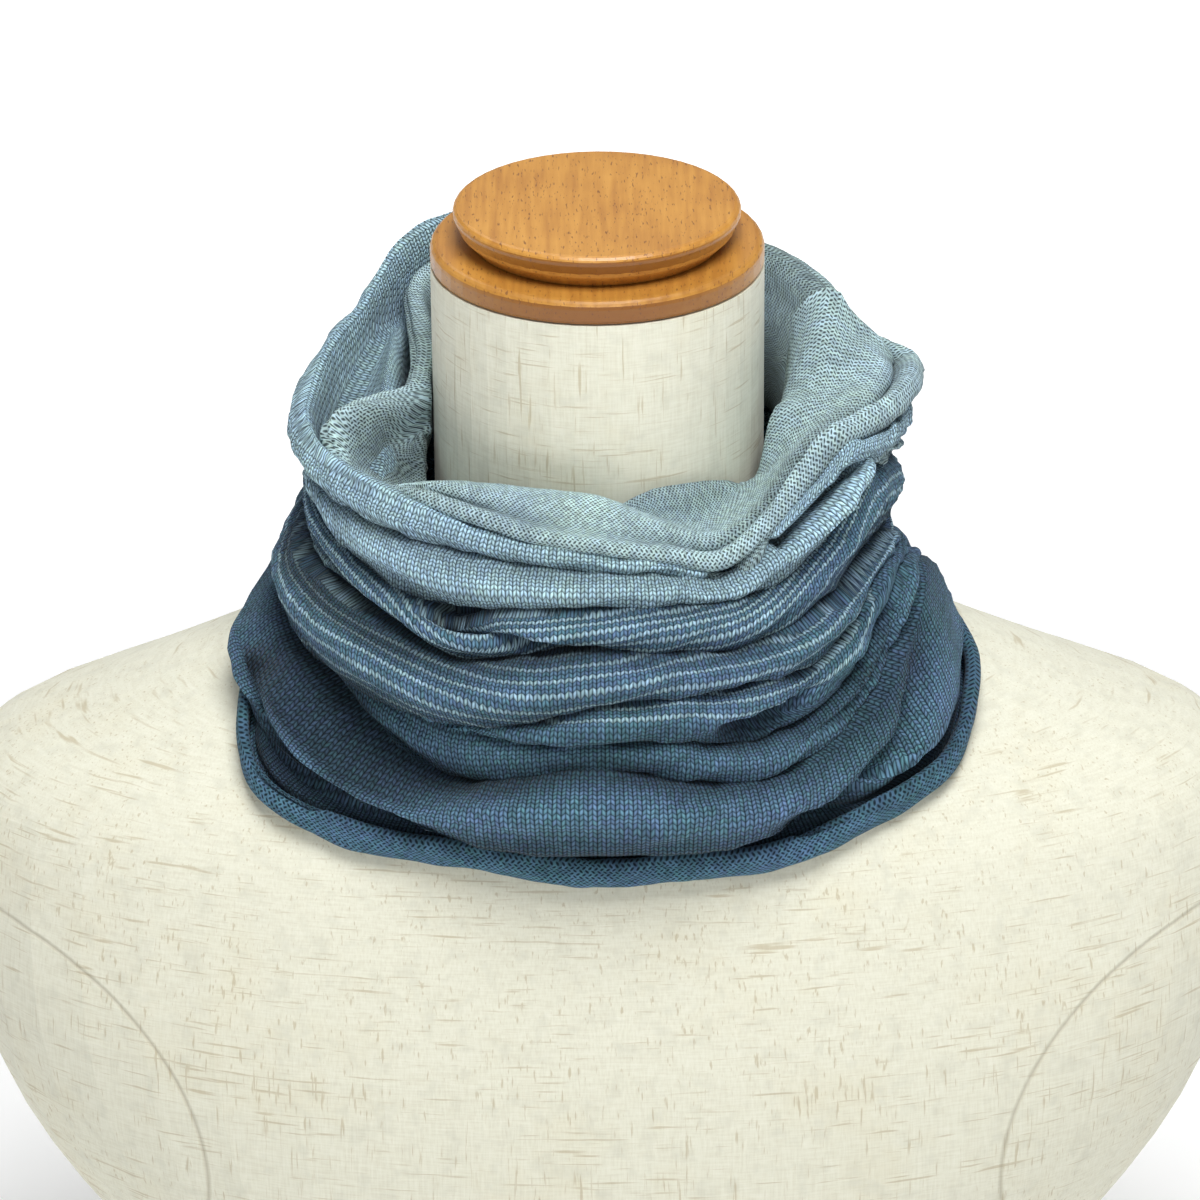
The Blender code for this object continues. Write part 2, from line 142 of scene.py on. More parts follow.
# Above the rim the cloth turns in towards the neck, goes down beside it, turns up again with its
# purl side to the neck, and ends in a free edge that curls outwards. From 8 to 5 it has flopped
# out over the rim, at 8.5 it crosses from the rim to the neck, and from 3 to 4 it is a broad
# turned-out flap. Each line gives (reach, height) from the rim to the edge at one hour.
RimSection = namedtuple("RimSection", "hour rim_top valley band ridge turn inner_ridge trough lip "
                                      "crest roll face edge")
RIM_SECTIONS = [RimSection(*section) for section in (
    (6, (76, 376), (71, 372), (67, 370), (64, 370), (61, 370), (59.5, 378), (60.5, 381),
     (63, 385), (67.5, 388.5), (71, 388.7), (74.5, 386.5), (80, 376.5)),
    (6.4, (77.5, 378), (73, 374), (69, 372), (65, 371), (61.5, 370), (60, 377), (61, 381),
     (63, 385.5), (67.5, 389.3), (71, 389.6), (74.5, 387.8), (80, 378.5)),
    (7, (80, 381), (76, 377), (71, 374), (66, 371), (62, 369), (60.5, 375), (61.5, 380),
     (63.5, 384.5), (67.5, 388.7), (71.5, 389.3), (75, 388.3), (81, 383)),
    (7.5, (86, 385.5), (81, 383), (74, 378), (68, 372), (64, 367), (61.5, 372), (63, 376),
     (66, 381), (70, 385.3), (74, 387), (77, 387), (82, 384)),
    (7.75, (89, 388), (84, 386), (77, 380), (70, 373), (65.5, 366), (62.5, 370), (64.5, 373.5),
     (69, 378), (74, 382), (77.5, 383.8), (80, 384), (82, 383.5)),
    (8, (92, 390), (86, 386.5), (80, 382), (74, 375), (67, 366), (62.5, 369), (65, 371.5),
     (70, 373), (75, 376), (79, 378.5), (82, 380.5), (84, 381.5)),
    (8.15, (93.5, 391), (87.5, 386), (82, 382), (76, 376), (67, 366), (62, 370.5), (66, 372),
     (74, 374.5), (80, 378), (83, 380), (85, 381.5), (86.5, 382)),
    (8.25, (94.5, 391.5), (88.5, 384), (84, 382), (76, 378), (66, 366), (61.5, 373), (68, 373),
     (77.5, 377.5), (83, 381), (86, 383), (88, 384.3), (89.5, 385)),
    (8.35, (95.5, 392), (89.2, 383), (83, 383), (74, 384), (65, 366), (61, 377), (66, 375),
     (76, 380.5), (82, 385.5), (86, 389), (90, 389.5), (91.5, 388.5)),
    (8.45, (95.8, 393), (89.5, 378), (81, 377), (72, 389), (64, 367), (60.5, 381), (64, 380),
     (72, 384), (74, 398), (83, 399.5), (90, 396), (92, 392.5)),
    (8.55, (96, 393.7), (89.5, 377), (80.5, 375.5), (70.5, 391.5), (63.5, 368), (59.5, 385),
     (62.5, 383), (67.5, 385), (65, 397.5), (73, 400.5), (82, 398.5), (84.5, 395)),
    (8.7, (96, 394.2), (89.5, 377), (81, 375), (69.5, 393), (63.5, 369), (57.5, 386),
     (57, 385), (58.5, 388), (57, 398), (60, 401), (64.5, 400.5), (66, 396)),
    (8.85, (95.7, 394.7), (89.5, 377.5), (81, 375.5), (69, 393.5), (62.5, 368), (56.5, 382),
     (56, 385), (56, 389), (55.5, 399), (57.5, 402), (61, 401), (62, 396)),
    (9, (95, 395), (89, 379), (81, 377), (69, 394), (62.5, 368), (56, 380), (55.8, 384),
     (55.5, 390), (55.3, 399), (57, 402), (60, 400.5), (61, 396)),
    (9.5, (92.5, 403), (87, 387), (80, 386), (70, 401), (62.5, 370), (56.5, 385), (56, 389),
     (55.5, 395), (55.5, 403), (57.5, 406), (60.5, 404.5), (61.5, 400)),
    (10, (90.5, 409), (86.5, 397), (82, 395), (77, 401), (71, 374), (67, 390), (66, 394),
     (65, 400), (64.5, 405), (66.5, 408.5), (70, 407), (70.5, 402.5)),
    (10.5, (92, 424), (88, 406), (87.5, 400), (87, 397), (83, 383), (80, 393), (79.5, 398),
     (79.5, 404), (80, 409), (82, 412.5), (85, 411.5), (85.5, 407)),
    (11, (88, 430), (86, 422), (85, 412), (84, 404), (81, 390), (78, 398), (77.5, 404),
     (77.5, 410), (78, 415), (80, 418.5), (83.5, 418), (84.5, 414)),
    (12, (85, 430), (82.5, 422), (80, 412), (77, 404), (73, 394), (70.5, 400), (70, 406),
     (70.5, 412), (72, 417), (74, 420.5), (78, 420), (79, 416)),
    (1, (84, 418), (80, 410), (77, 402), (74, 395), (70, 386), (69, 396), (70, 402), (72, 409),
     (75, 415), (78, 420), (82.5, 421.5), (85, 417.5)),
    (1.5, (86, 408), (80, 400), (76, 394), (72, 388), (67, 380), (67, 390), (68.5, 397),
     (71.5, 405), (75, 412), (79.5, 419), (84, 420), (87, 415.5)),
    (2, (88, 402), (82, 395), (77, 389), (71, 384), (65, 376), (64.5, 386), (65.5, 393),
     (68.5, 401), (73, 407.5), (79, 414), (84.5, 415.5), (88.5, 411)),
    (2.4, (93, 400), (86, 393), (80, 388), (72, 384), (64, 376), (62.5, 385), (63, 391),
     (66, 399), (71, 404), (78, 409), (84, 410), (89, 406)),
    (2.78, (97, 398), (91, 391), (84, 388), (75, 385), (64, 376), (61.5, 384), (62, 391),
     (65.5, 403), (71, 409), (78, 412.5), (86, 409.5), (94, 405)),
    (2.9, (99, 398), (95, 391), (87, 389), (77, 386), (64, 376), (61.5, 385), (63, 402),
     (68.5, 425), (74, 428), (83, 418.5), (93.5, 407), (103.5, 402)),
    (3.1, (100, 398), (96, 391), (88, 389), (77, 386), (64, 376), (61, 385), (62.5, 398),
     (67.5, 418.5), (73.5, 422), (83, 416), (94, 407.5), (104.5, 403.5)),
    (3.3, (101, 399), (97, 392), (89, 389), (77, 386), (64, 375), (60.5, 384), (62, 394),
     (65.5, 408.5), (73, 413), (84, 412), (95, 408.5), (105, 405)),
    (3.5, (101.5, 400), (98, 393), (90, 390), (78, 386), (64, 374), (60.5, 382), (61.5, 390),
     (63, 399.5), (71, 404.5), (83, 407.5), (94.5, 408), (104.5, 406)),
    (3.8, (101, 401), (98, 395), (90, 391), (78, 386), (64, 372), (60, 380), (61, 388),
     (61.8, 396.5), (69, 399), (81, 403.5), (92.5, 406.5), (103, 406)),
    (3.95, (100.5, 401.5), (97.5, 396), (90, 391), (78, 386), (64, 371), (59.5, 378), (60.5, 382),
     (61.5, 386), (68, 392.5), (79, 400), (90, 405.5), (101.5, 406.5)),
    (4.1, (99.5, 402), (96, 396), (89, 391), (77, 385), (64, 370), (59, 376), (60.5, 378),
     (62, 380), (69, 387.5), (79, 396.5), (88.5, 403.5), (99.5, 406)),
    (4.3, (97.5, 402), (94, 396), (87, 389), (76, 382), (64, 368), (58.5, 378), (60.5, 379),
     (63, 380.5), (70, 385.5), (78.5, 393.5), (86.5, 400.5), (97, 405)),
    (4.5, (91.5, 388), (87, 382), (81, 378), (73, 374), (64, 366), (58, 381), (61, 378),
     (65.5, 378.5), (71, 381), (76, 383.5), (81, 386.8), (91, 390.5)),
    (4.75, (86, 377), (81, 371), (76, 368), (70, 368), (63.5, 364), (57.8, 383.5), (62, 375.5),
     (67.5, 375), (72, 376), (75.5, 377), (79, 377.8), (87.3, 378)),
    (5, (80, 368), (76, 364), (72, 362), (68, 363), (63, 362), (57.8, 384.5), (62.5, 374),
     (68.5, 372.5), (71.5, 373), (74, 373.3), (77, 372.5), (83.8, 369)),
    (5.5, (77, 372), (73, 368), (69, 367), (66, 367), (62, 366), (58.3, 384.5), (62, 378),
     (65.5, 378.5), (68.5, 380), (71.5, 380.3), (74, 379.5), (80.5, 372)),
)]
RIM_COURSE, EDGE_COURSE = 138, 192  # the knitted rows at the rim top and at the free edge

# The free edge curls out over the knit side: the thickness of its roll, for each hour, and the
# rings that take the edge's place, in that thickness, back along the face and off it.
EDGE_ROLL = (1.6, 1.7, 2.0, 2.2, 2, 1.5, 1.5, 2, 2.2, 2.5, 2.5, 2.5, 2.5, 2.6, 4, 4, 4.2, 4.2, 4,
             2.8, 2.0)
EDGE_LIMIT = 0.36                   # the most that the roll may be, as a share of the face
EdgeRing = namedtuple("EdgeRing", "back off")
EDGE_RINGS = (EdgeRing(-2.3, -0.8), EdgeRing(-1.0, 0.75), EdgeRing(0, 0), EdgeRing(-0.9, -1.1),
              EdgeRing(-1.9, -1.0))

# The painted shade of each ring from the rim top to the edge, below 0 a painted highlight: all
# round, and what is added in the bowl at the left, at the bowl's front end, on the far wall up to
# the flap, as the flap's painted shadow, in front, where the free edge lies flat with no crease
# along it, and in front of the flap.
RimPaintedShade = namedtuple("RimPaintedShade", "ring all_round bowl bowl_end far_wall in_front by_flap")
RIM_PAINTED_SHADES = (
    RimPaintedShade("rim top", -0.1, 0, 0, 0, 0, 0),
    RimPaintedShade("valley", 0.5, 0.4, 0, 0.48, 0, 0),
    RimPaintedShade("band", 0.3, 0.6, 0.2, 0.48, 0, 0),
    RimPaintedShade("ridge", 0, 0.1, 0.5, 0.48, 0, 0),
    RimPaintedShade("turn", 1, 0, 0, 0, 0, 0),
    RimPaintedShade("inner ridge", 0.4, 0.3, 0.5, 0.48, 0, 0),
    RimPaintedShade("trough", 0.2, 0.3, 0.7, 0.64, -0.2, 0),
    RimPaintedShade("lip", 0.1, 0, 0.8, 0.64, -0.3, 0),
    RimPaintedShade("crest", 0, 0, 0.6, 0.64, -0.3, 0),
    RimPaintedShade("roll", 0, 0, 0.3, 0.64, -0.3, 0),
    RimPaintedShade("face", 0, 0, 0.1, 0.64, -0.2, 0.6),
    RimPaintedShade("under the edge roll", 0.8, 0, 0, 0, -0.9, 0),
    RimPaintedShade("edge roll", 0, 0, 0, 0, -0.1, -0.3),
    RimPaintedShade("edge roll's outer side", 0.1, 0, 0, 0, 0, 0),
    RimPaintedShade("inside the edge roll", 0.9, 0, 0, 0, 0, 0),
    RimPaintedShade("raw edge", 1, 0, 0, 0, 0, 0),
)

# Soft dents that run along or across a fold: (hour, place between its lip and top, depth).
# A depth below zero is a ridge. Each dent is also painted in shade along its path, and each
# ridge paler, as a painted highlight.
Dent = namedtuple("Dent", "fold width path")
DENTS = (
    Dent("lowest", 5.0, ((3.8, 0.95, 0), (3.96, 0.85, 7), (4.12, 0.72, 10), (4.22, 0.48, 11),
                         (4.38, 0.42, 11), (4.52, 0.3, 10), (4.75, 0.12, 7), (5.0, 0.05, 0))),
    Dent("lowest", 6.5, ((8.5, 0.9, 0), (8.25, 0.75, 5), (8.06, 0.46, 8), (7.85, 0.3, 8),
                         (7.6, 0.18, 7), (7.17, 0.1, 4), (6.7, 0.1, 0))),
    Dent("denim", 3.4, ((3.98, 0.75, 0), (4.12, 0.62, 10), (4.4, 0.6, 11), (4.6, 0.72, 8),
                        (4.85, 0.9, 0))),
    Dent("light", 3.0, ((3.4, 0.5, 0), (3.7, 0.5, 4), (4.0, 0.45, 0))),
    Dent("split striped", 3.5, ((5.3, 0.3, 0), (5.08, 0.3, 12), (4.85, 0.4, 12), (4.7, 0.6, 8),
                                (4.55, 0.8, 0))),
    Dent("narrow striped", 2.4, ((7.3, 1.1, 0), (7.05, 0.95, 6), (6.8, 0.78, 9), (6.63, 0.5, 9),
                                 (6.47, 0.3, 8), (6.31, 0.15, 5), (5.9, 0.0, 0))),
    Dent("narrow striped", 2.6, ((9.2, 0.5, 0), (8.5, 0.5, 7), (8.0, 0.45, 8), (7.6, 0.3, 7),
                                 (7.2, 0.1, 0))),
    Dent("wide striped", 4.0, ((9.2, 0.95, 0), (8.5, 0.92, 2.5), (7.5, 0.9, 2.5),
                               (7.1, 0.9, 0))),
    Dent("light", 3.0, ((4.1, 0.97, 0), (4.2, 0.97, 11), (4.35, 0.96, 11), (4.45, 0.94, 6),
                        (4.6, 0.92, 12), (4.72, 0.95, 0))),
    Dent("rim", 3.0, ((4.7, 0.5, 0), (4.82, 0.5, 8), (4.92, 0.5, 12), (5.05, 0.5, 10),
                      (5.2, 0.5, 0))),
    Dent("light", 3.5, ((4.0, 1.0, 0), (4.15, 0.78, -4), (4.3, 0.7, -5), (4.5, 0.6, -4),
                        (4.65, 0.5, 0))),
)

# Painted shadows, where the folds above keep the light out, given in the same way.
SHADOWS = (
    Dent("lowest", 4.0, ((8.4, 0.95, 0), (8.15, 0.98, 4), (8.0, 1.0, 8), (7.6, 1.0, 9),
                         (7.3, 1.0, 5), (7.0, 1.0, 0))),
    Dent("denim", 7.0, ((8.3, 0.3, 0), (8.05, 0.3, 6), (7.75, 0.3, 9), (7.45, 0.15, 6),
                        (7.2, 0.1, 0))),
    Dent("lowest", 4.0, ((8.35, 0.8, 0), (8.15, 0.62, 4), (7.95, 0.42, 6), (7.7, 0.26, 6),
                         (7.3, 0.15, 5), (6.8, 0.08, 3), (6.2, 0.05, 0))),
    # The crest of the left ridge, between them, is painted paler instead, as a highlight.
    Dent("lowest", 4.5, ((8.3, 0.86, 0), (8.05, 0.78, -5), (7.75, 0.62, -6), (7.3, 0.52, -5),
                         (6.9, 0.5, -2), (6.5, 0.5, 0))),
    Dent("wide striped", 5.0, ((9.2, 0.9, 0), (8.6, 0.9, 5), (7.6, 0.92, 6), (7.0, 0.95, 0))),
    Dent("denim", 6.0, ((6.6, 0.5, 0), (6.3, 0.5, 5), (5.8, 0.5, 5), (5.5, 0.5, 0))),
)
# A dent this deep, or a painted shadow this deep, is painted as dark as a crease.
DENT_DARK, SHADOW_DARK = 14, 9


def near(hours, hour, spread):
    """1 at one hour, fading to 0 on both sides of it."""
    return np.exp(-((hours - hour) / spread) ** 2)


# The columns stand closer in front, and closest where the top edge turns sharply.
fine_turns = np.linspace(0, 1, 2881)
fine_hours = (6 + fine_turns * 12) % 12
closeness = (1 + 0.45 * np.cos(2 * math.pi * fine_turns) + 1.8 * near(fine_hours, 8.42, 0.25)
             + 0.9 * near(fine_hours, 2.85, 0.25) + 0.6 * near(fine_hours, 4.2, 0.35))
summed = np.concatenate(([0], np.cumsum((closeness[1:] + closeness[:-1]) / 2)))
turns = np.interp(np.arange(COLUMNS) / COLUMNS, summed / summed[-1], fine_turns)
outward = np.stack((-np.sin(2 * math.pi * turns), -np.cos(2 * math.pi * turns)))
clock = 6 + turns * 12                          # each column's hour, 6 to 18
column_hours = (clock - 0.5) % 12 + 0.5         # the same, 0.5 to 12.5


def mid_slopes(slopes, steps):
    """The slope at each point between two steps, from the slopes of both."""
    return (slopes[:-1] * steps[1:] + slopes[1:] * steps[:-1]) / (steps[1:] + steps[:-1])


def ease(t, step, start, end, start_slope, end_slope):
    """A smooth way from start to end, at t from 0 to 1, with given slopes at both."""
    return (start + (end - start) * t * t * (3 - 2 * t)
            + t * (1 - t) * step * ((1 - t) * start_slope - t * end_slope))


def round_neck(values, hours=HOURS):
    """Reads a row of values, one for each of the hours, at every column."""
    places = np.array([((hour - 6) % 12) / 12 for hour in hours])
    places = np.concatenate((places[-2:] - 1, places, places[:2] + 1))
    values = np.array(values, float)
    values = np.concatenate((values[-2:], values, values[:2]))
    steps = np.diff(places)
    slopes = np.concatenate(([0], mid_slopes(np.diff(values) / steps, steps), [0]))
    i = np.searchsorted(places, turns, side="right") - 1
    t = (turns - places[i]) / steps[i]
    return ease(t, steps[i], values[i], values[i + 1], slopes[i], slopes[i + 1])


# The form under the cloth, so that the hem can lie on it and no fold sinks into it.
ABOVE_FORM = 0.6                                # in metres
form = bpy.data.objects["dress_form"]
form_tree = BVHTree.FromObject(form, bpy.context.evaluated_depsgraph_get())


def form_heights(reach):
    """How high the form's slope lies under each column."""
    heights = []
    for x, y in (outward * reach * MM).T:
        hit = form_tree.ray_cast(Vector((x, y, ABOVE_FORM)), Vector((0, 0, -1)))[0]
        heights.append(hit.z / MM)
    return np.array(heights)


# A ring is (reach, height, knitted row, hollow), each one value or one for every column. The
# roll's way up and down over the shoulders is calmed a few times, so that it lies in soft bends.
SMOOTHINGS = 6
hem_middle = round_neck(HEM_REACH) - HEM_ROLL / 2
slope = form_heights(hem_middle)
fall = (slope - form_heights(hem_middle + HEM_ROLL / 2)) / (HEM_ROLL / 2)
for _ in range(SMOOTHINGS):
    slope = (np.roll(slope, 1) + slope + np.roll(slope, -1)) / 3
    fall = (np.roll(fall, 1) + fall + np.roll(fall, -1)) / 3
middle = slope + (HEM_ROLL / 2 + HEM_LIFT) * np.hypot(1, fall)
radius = HEM_ROLL / 2 - HEM_WALL
rings = [(hem_middle + ring.out * radius, middle + ring.up * radius, ring.course, ring.hollow)
         for ring in HEM_RINGS]


def fold_rings(fold, lip, reach_below):
    """A fold's rings, from the crease under it to the one above it, and where that one is."""
    reach, tuck, crown, course = [round_neck(values) for values in
                                  (fold.reach, fold.tuck, fold.crown, fold.course)]
    rise = round_neck(fold.top) - (0 if fold.name == "rim" else SETTLE) - lip
    courses = rise * COURSE_STRETCH / COURSE
    deep = np.clip(rise / FULL_RISE, 0.2, 2.0)
    # How dark the creases are painted, as shade: small folds have paler ones, and a low crown
    # paints little shade below it.
    dark = np.clip(deep * 0.85, 0.2, 1)         # small folds have paler creases
    under = np.clip(crown / 0.5, 0.3, 1)        # and a low crown hides little below it
    # Each ring as (reach, height above the lip, knitted row, painted shade).
    rings = [
        # the bottom of the crease
        (np.minimum(reach, reach_below) - tuck - 5 * deep, 0, course - 5 - 0.17 * rise, dark),
        # the underside, and the start of the outer side
        (reach - 6.0 * deep, 0.03 * rise + 0.3, course - 0.17 * rise, dark),
        (reach - 3.3 * deep, np.minimum(0.27, 0.6 * crown) * rise, course, 0.5 * under * dark),
        # the crown, painted paler as a highlight
        (reach, crown * rise, course + (crown - 0.38) * courses, -0.42 * dark),
    ]
    if fold.name == "rim":
        # the start of the turn into the rim's own rings
        rings.append((reach - 0.8, 0.82 * rise, course + 0.5 * courses, 0))
    else:
        # the shoulder, and the upper side that goes back into the next crease
        rings.append((reach - 1.8 * deep, (0.55 + 0.45 * crown) * rise,
                      course + (0.17 + 0.45 * crown) * courses, 0))
        rings.append((reach - 7.0 * deep, 0.99 * rise, course + 0.75 * courses,
                      np.clip(1 / deep, 0.5, 1) * dark))
    rings = [(out, lip + up, row, hollow) for out, up, row, hollow in rings]
    return rings, lip + rise, reach


FOLD_RINGS = 6                                  # the rim's sixth is its top, the first of its own
first_ring = {}
lip = middle + round_neck(HEM_GAP)
reach_below = round_neck(HEM_REACH)
for fold in FOLDS:
    first_ring[fold.name] = len(rings)
    made, lip, reach_below = fold_rings(fold, lip, reach_below)
    rings += made

# The rim's rings, with the last one, the edge, rolled up.
rim_start = len(rings)
rim_hours = [section.hour for section in RIM_SECTIONS]
rim_places = np.array([
    [round_neck([getattr(section, ring)[axis] for section in RIM_SECTIONS], rim_hours)
     for axis in (0, 1)] for ring in RimSection._fields[1:]])
face, edge = rim_places[-2:]
width = np.hypot(*(edge - face))
along_face = (edge - face) / width
off_face = np.stack((-along_face[1], along_face[0]))
curl = np.minimum(round_neck(EDGE_ROLL), EDGE_LIMIT * width)
edge_places = [edge + (ring.back * along_face + ring.off * off_face) * curl for ring in EDGE_RINGS]
rim_places = np.concatenate((rim_places[:-1], edge_places))
run = np.cumsum(np.hypot(*np.moveaxis(np.diff(rim_places, axis=0), 1, 0)), axis=0)
share = np.concatenate((np.zeros((1, COLUMNS)), run)) / run[-1]
rim_courses = RIM_COURSE + (EDGE_COURSE - RIM_COURSE) * share
# How far each place of RIM_PAINTED_SHADES has a share in each column.
fades = {
    "bowl": near(column_hours, 8.85, 0.6),
    "bowl_end": near(column_hours, 8.4, 0.17),
    "far_wall": np.clip((clock - 12) / 1.5, 0, 1) * np.clip((14.87 - clock) / 0.06, 0, 1),
    "in_front": near(column_hours, 6, 0.84),
    "by_flap": near(column_hours, 4.4, 0.8),
}
for place, course, hollow in zip(rim_places, rim_courses, RIM_PAINTED_SHADES):
    added = sum(getattr(hollow, where) * fade for where, fade in fades.items())
    rings.append((*place, course, hollow.all_round + added))


def along(values, lengths):
    """Rounds off the way from ring to ring, with STEPS rows from each to the next."""
    slopes = np.diff(values, axis=0) / lengths
    slopes = np.concatenate((slopes[:1], mid_slopes(slopes, lengths), slopes[-1:]))
    made = [ease(step / STEPS, lengths[i], values[i], values[i + 1], slopes[i], slopes[i + 1])
            for i in range(len(values) - 1) for step in range(STEPS)]
    return np.array(made + [values[-1]])


# From here on each array has a row for each row of the mesh, from the hem to the edge.
SHORTEST = 0.4                                  # so that no slope grows without limit
parts = [np.array([np.broadcast_to(ring[part], COLUMNS) for ring in rings]) for part in range(4)]
lengths = np.maximum(np.hypot(*[np.diff(part, axis=0) for part in parts[:2]]), SHORTEST)
reaches, heights, courses, painted_shades = [along(part, lengths) for part in parts]
ROWS = len(reaches)
arc = np.concatenate((np.zeros((1, COLUMNS)), np.cumsum(
    np.hypot(np.diff(reaches, axis=0), np.diff(heights, axis=0)), axis=0)))
slope_r, slope_h = np.gradient(reaches, axis=0), np.gradient(heights, axis=0)
steepness = np.hypot(slope_r, slope_h) + 1e-9
normal_r, normal_h = slope_h / steepness, -slope_r / steepness

# Dents press in along the cloth's own outward direction, deepest on their path, and are painted
# in shade there; the painted shadows only add shade.
press = np.zeros_like(reaches)
for dents, full_dark, pressing in ((DENTS, DENT_DARK, 1), (SHADOWS, SHADOW_DARK, 0)):
    for dent in dents:
        row = first_ring[dent.fold] * STEPS
        bottom, top = heights[row], heights[row + (FOLD_RINGS - 1) * STEPS]
        hours, places, depths = zip(*sorted(dent.path))
        place = np.interp(column_hours, hours, places)
        depth = np.interp(column_hours, hours, depths, left=0, right=0)
        rows = slice(row, row + FOLD_RINGS * STEPS)
        away = (heights[rows] - (bottom + place * (top - bottom))) / dent.width
        dented = depth * np.exp(-away * away)
        painted_shades[rows] += dented / full_dark
        press[rows] += dented * pressing
painted_shades = np.clip(painted_shades, -0.5, 1)
reaches = reaches - normal_r * press
heights = heights - normal_h * press

# Small uneven waves, longer round the neck than across it, as soft cloth has. The numbers of
# waves are round the tube and in a millimetre up the cloth. The rim is calmer.
Wave = namedtuple("Wave", "around across shift depth")
WAVE_TURN = 6.28                                # one wave, in radians
WAVES = (Wave(7, 0.055, 0.4, 0.5), Wave(13, 0.08, 2.1, 0.35), Wave(19, -0.11, 4.0, 0.25),
         Wave(29, 0.17, 1.2, 0.18), Wave(41, -0.21, 5.1, 0.12))
RIM_CALM = 0.35
around = 2 * math.pi * turns
ripple = np.zeros_like(reaches)
for wave in WAVES:
    ripple += wave.depth * np.sin(wave.around * around + wave.across * arc * WAVE_TURN
                                  + wave.shift + 1.3 * np.sin(3 * around + wave.shift))
ripple[rim_start * STEPS:] *= RIM_CALM
reaches = reaches + normal_r * ripple
heights = heights + normal_h * ripple

# Every point is kept clear of the linen by the cloth's own thickness and a little more.
LINEN_GAP = 0.0006                              # in metres, as is the reach of the search
SEARCH_REACH = 0.012
spots = np.stack((outward[0] * reaches, outward[1] * reaches, heights), axis=-1) * MM
for row in range(ROWS):
    for column in range(COLUMNS):
        spot = Vector(spots[row, column])
        nearest, face_normal, _, _ = form_tree.find_nearest(spot, SEARCH_REACH)
        if nearest is None:
            continue
        lift = CLOTH + LINEN_GAP - (spot - nearest).dot(face_normal)
        if lift > 0:
            spots[row, column] = spot + face_normal * lift

mesh = bpy.data.meshes.new("neck_warmer_cloth")
quads = []
for row in range(ROWS - 1):
    for column in range(COLUMNS):
        after = (column + 1) % COLUMNS
        quads.append((row * COLUMNS + column, (row + 1) * COLUMNS + column,
                      (row + 1) * COLUMNS + after, row * COLUMNS + after))
mesh.from_pydata(spots.reshape(-1, 3).tolist(), [], quads)
# Every row holds the same number of wales, spread evenly along its own length.
spans = np.linalg.norm(np.roll(spots, -1, axis=1) - spots, axis=2)
wales = np.concatenate((np.zeros((ROWS, 1)), np.cumsum(spans, axis=1)), axis=1)
wales = wales / wales[:, -1:] * WALES
uvs = mesh.uv_layers.new(name="knit")
corner = 0
for row in range(ROWS - 1):
    for column in range(COLUMNS):
        for side, level in ((0, 0), (0, 1), (1, 1), (1, 0)):
            uvs.data[corner].uv = (wales[row + level, column + side],
                                   courses[row + level, (column + side) % COLUMNS])
            corner += 1
# The painted shade of each point, which darkens the yarn in creases and dents and pales it on
# crests.
mesh.attributes.new("hollow", "FLOAT", "POINT").data.foreach_set("value", painted_shades.ravel())
mesh.shade_smooth()
cloth = bpy.data.objects.new("neck_warmer_cloth", mesh)
bpy.context.scene.collection.objects.link(cloth)


# --- neck warmer: the knit --------------------------------------------------------------------
# Stocking stitch: columns of small Vs on the knit side, rows of half-hidden bumps on the purl
# side. The gaps between the threads and the purl holes are painted dark, as the shade that falls
# in them, and each stitch's own tone gives the melange look.
class Wire:
    """A socket of a material, so that its sums read as plain sums."""

    def __init__(self, socket):
        self.socket = socket

    def math(self, operation, *others):
        tree = self.socket.id_data
        made = tree.nodes.new("ShaderNodeMath")
        made.operation = operation
        for place, value in enumerate((self, *others)):
            if isinstance(value, Wire):
                tree.links.new(value.socket, made.inputs[place])
            else:
                made.inputs[place].default_value = value
        return Wire(made.outputs[0])

    def between(self, lowest, highest):
        return self.math("MAXIMUM", lowest).math("MINIMUM", highest)

    def __add__(self, other):
        return self.math("ADD", other)

    def __sub__(self, other):
        return self.math("SUBTRACT", other)

    def __rsub__(self, other):
        return self.math("MULTIPLY", -1.0).math("ADD", other)

    def __mul__(self, other):
        return self.math("MULTIPLY", other)

    def __truediv__(self, other):
        return self.math("DIVIDE", other)

    def __pow__(self, other):
        return self.math("POWER", other)

    def __abs__(self):
        return self.math("ABSOLUTE")

    def __gt__(self, other):
        return self.math("GREATER_THAN", other)

    def __lt__(self, other):
        return self.math("LESS_THAN", other)

    __radd__, __rmul__ = __add__, __mul__


